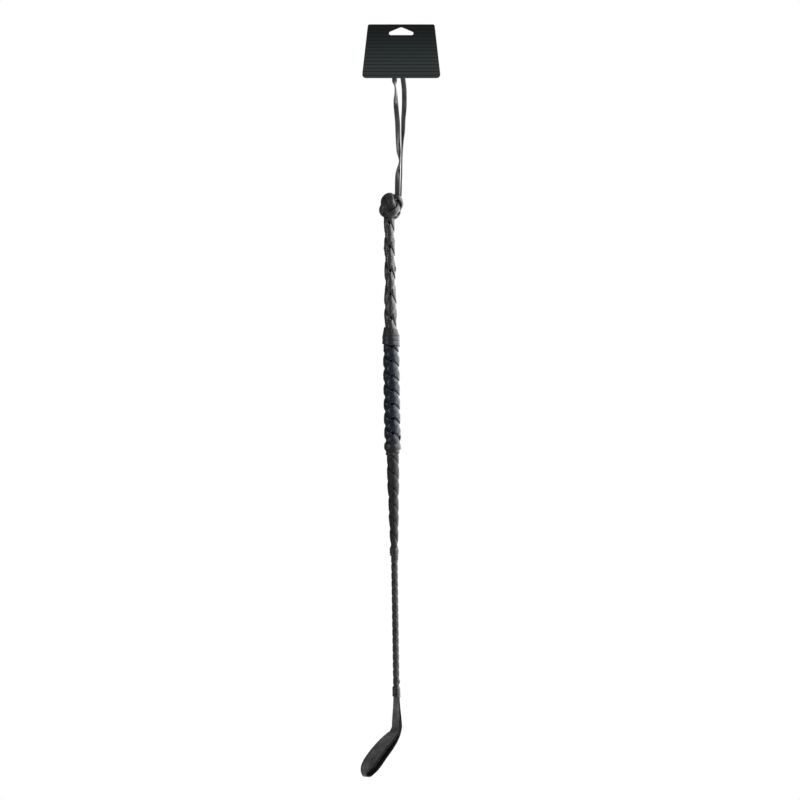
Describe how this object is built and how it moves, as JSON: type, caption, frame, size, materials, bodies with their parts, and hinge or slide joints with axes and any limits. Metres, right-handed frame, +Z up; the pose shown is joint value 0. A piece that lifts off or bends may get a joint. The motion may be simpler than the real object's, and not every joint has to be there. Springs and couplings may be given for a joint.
{
  "type": "riding crop",
  "caption": "Slim riding crop with a plaited leather shaft, pommel knot, wrist lace and folded keeper, hung from a blank header card.",
  "frame": {"origin": "middle of the hang slot in the header card, halfway between the card's two leaves", "axes": "+Z up along the hanging crop, +X to the right seen from the front, -Y towards the front"},
  "size_m": [0.0843, 0.0525, 0.7848],
  "materials": {
    "card_stock": "black coated card with fine plain stripes, satin",
    "pin_plastic": "black moulded plastic",
    "lace_leather": "soft black lace leather",
    "knot_leather": "black lace leather, worn to a low shine",
    "handle_leather": "black plaited leather, low shine",
    "grip_leather": "blue-black plaited leather, low shine",
    "mid_leather": "black plaited leather, dull",
    "shaft_leather": "dark grey fine plaited leather, dull",
    "tie_leather": "black lace leather, wound",
    "keeper_leather": "dull dark grey grained strap leather",
    "core_wood": "plain turned wood",
    "rod_fibreglass": "drawn fibreglass rod",
    "wrap_tape": "black waxed cotton tape"
  },
  "bodies": {
    "card": {"hang_card": "card_stock", "card_pin": "pin_plastic"},
    "loop": {"wrist_loop": "lace_leather"},
    "crop": {"pommel_knot": "knot_leather", "knot_core": "core_wood", "core_rod": "rod_fibreglass", "handle_wrap": "wrap_tape", "grip_bolster": "wrap_tape", "mid_wrap": "wrap_tape", "handle_thong_1": "handle_leather", "handle_thong_2": "handle_leather", "handle_thong_3": "handle_leather", "handle_thong_4": "handle_leather", "grip_thong_1": "grip_leather", "grip_thong_2": "grip_leather", "grip_thong_3": "grip_leather", "grip_thong_4": "grip_leather", "mid_thong_1": "mid_leather", "mid_thong_2": "mid_leather", "mid_thong_3": "mid_leather", "mid_thong_4": "mid_leather", "lower_thong_1": "shaft_leather", "lower_thong_2": "shaft_leather", "lower_thong_3": "shaft_leather", "lower_thong_4": "shaft_leather", "grip_top_tie": "tie_leather", "grip_end_tie": "tie_leather", "mid_end_tie": "tie_leather", "tip_whipping": "tie_leather", "keeper_root": "keeper_leather"},
    "keeper": {"keeper_loop": "keeper_leather"}
  },
  "joints": [
    {"name": "loop_swing", "type": "hinge", "parent": "card", "child": "loop", "pos_m": [-0.0028, 0, -0.036], "axis": [0, 1, 0], "range_deg": [-15, 15]},
    {"name": "crop_swing", "type": "hinge", "parent": "loop", "child": "crop", "pos_m": [-0.003, 0, -0.168], "axis": [1, 0, 0], "range_deg": [-40, 40]},
    {"name": "keeper_flex", "type": "hinge", "parent": "crop", "child": "keeper", "pos_m": [-0.00442, 0, -0.73094], "axis": [0.707, -0.7071, 0.0107], "range_deg": [-25, 60], "stiffness_Nm_per_rad": 0.05}
  ]
}
